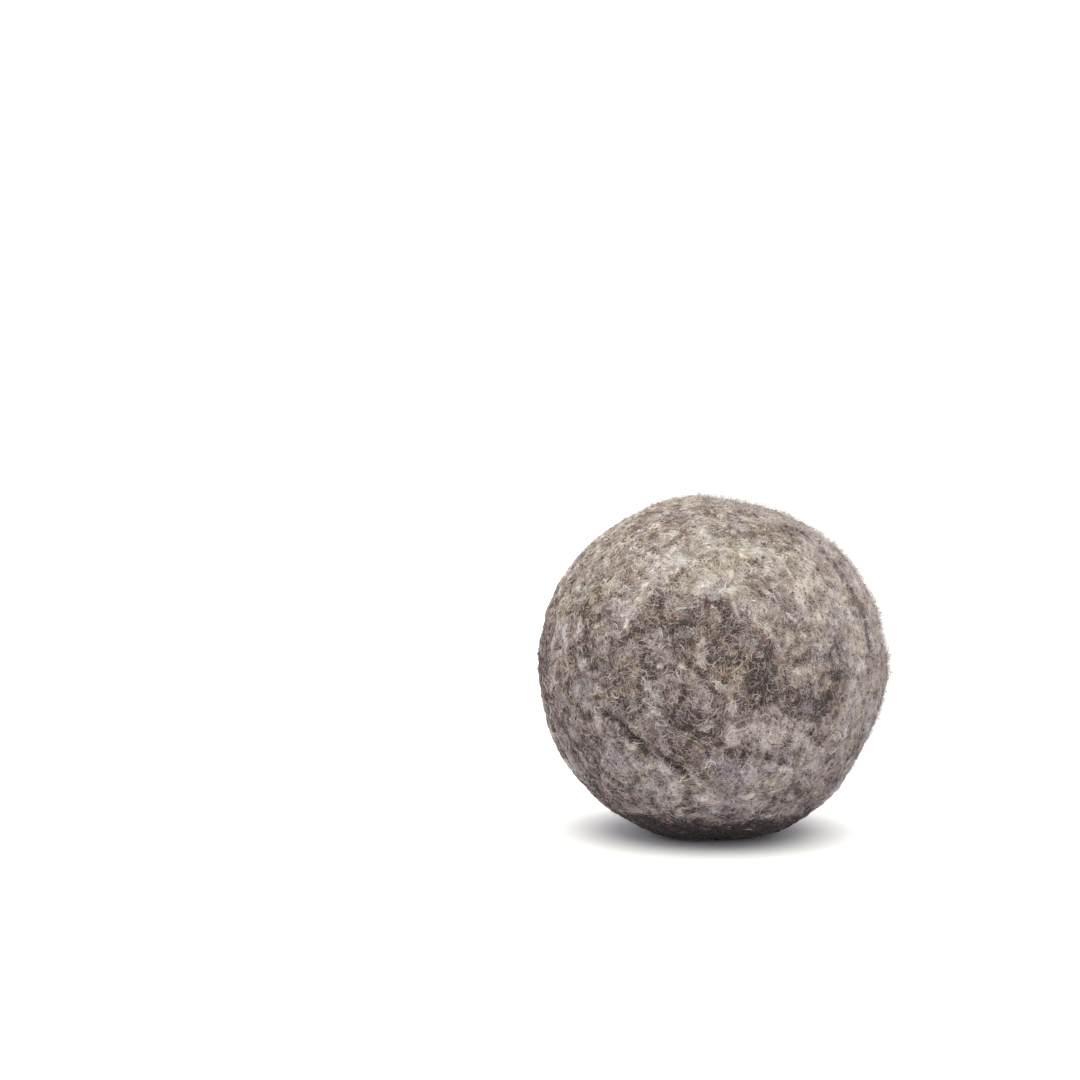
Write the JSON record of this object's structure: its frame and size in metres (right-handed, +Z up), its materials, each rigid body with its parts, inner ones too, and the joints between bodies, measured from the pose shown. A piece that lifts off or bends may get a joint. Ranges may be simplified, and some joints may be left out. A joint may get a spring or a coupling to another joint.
{
  "type": "wool dryer ball",
  "caption": "Felted grey wool dryer ball with a settled rest flat, wound from crossed layers of roving on a core pellet.",
  "frame": {"origin": "centre of the flat that the ball rests on", "axes": "+Z up from the rest flat through the ball's centre; -Y is the front; +X is the right"},
  "size_m": [0.075, 0.075, 0.073],
  "materials": {
    "felted_wool": "matte",
    "roving_wool": "matte",
    "core_wool": "matte",
    "straw": "matte",
    "hay": "matte"
  },
  "bodies": {
    "root": {"felt_skin": "felted_wool", "inner_strip_1": "roving_wool", "inner_strip_2": "roving_wool", "inner_strip_3": "roving_wool", "inner_strip_4": "roving_wool", "inner_strip_5": "roving_wool", "inner_strip_6": "roving_wool", "middle_strip_1": "roving_wool", "middle_strip_2": "roving_wool", "middle_strip_3": "roving_wool", "middle_strip_4": "roving_wool", "middle_strip_5": "roving_wool", "middle_strip_6": "roving_wool", "outer_strip_1": "roving_wool", "outer_strip_2": "roving_wool", "outer_strip_3": "roving_wool", "outer_strip_4": "roving_wool", "outer_strip_5": "roving_wool", "outer_strip_6": "roving_wool", "core_pellet": "core_wool", "straw_fleck": "straw", "hay_fleck_low": "hay", "hay_fleck_high": "hay"}
  },
  "joints": []
}
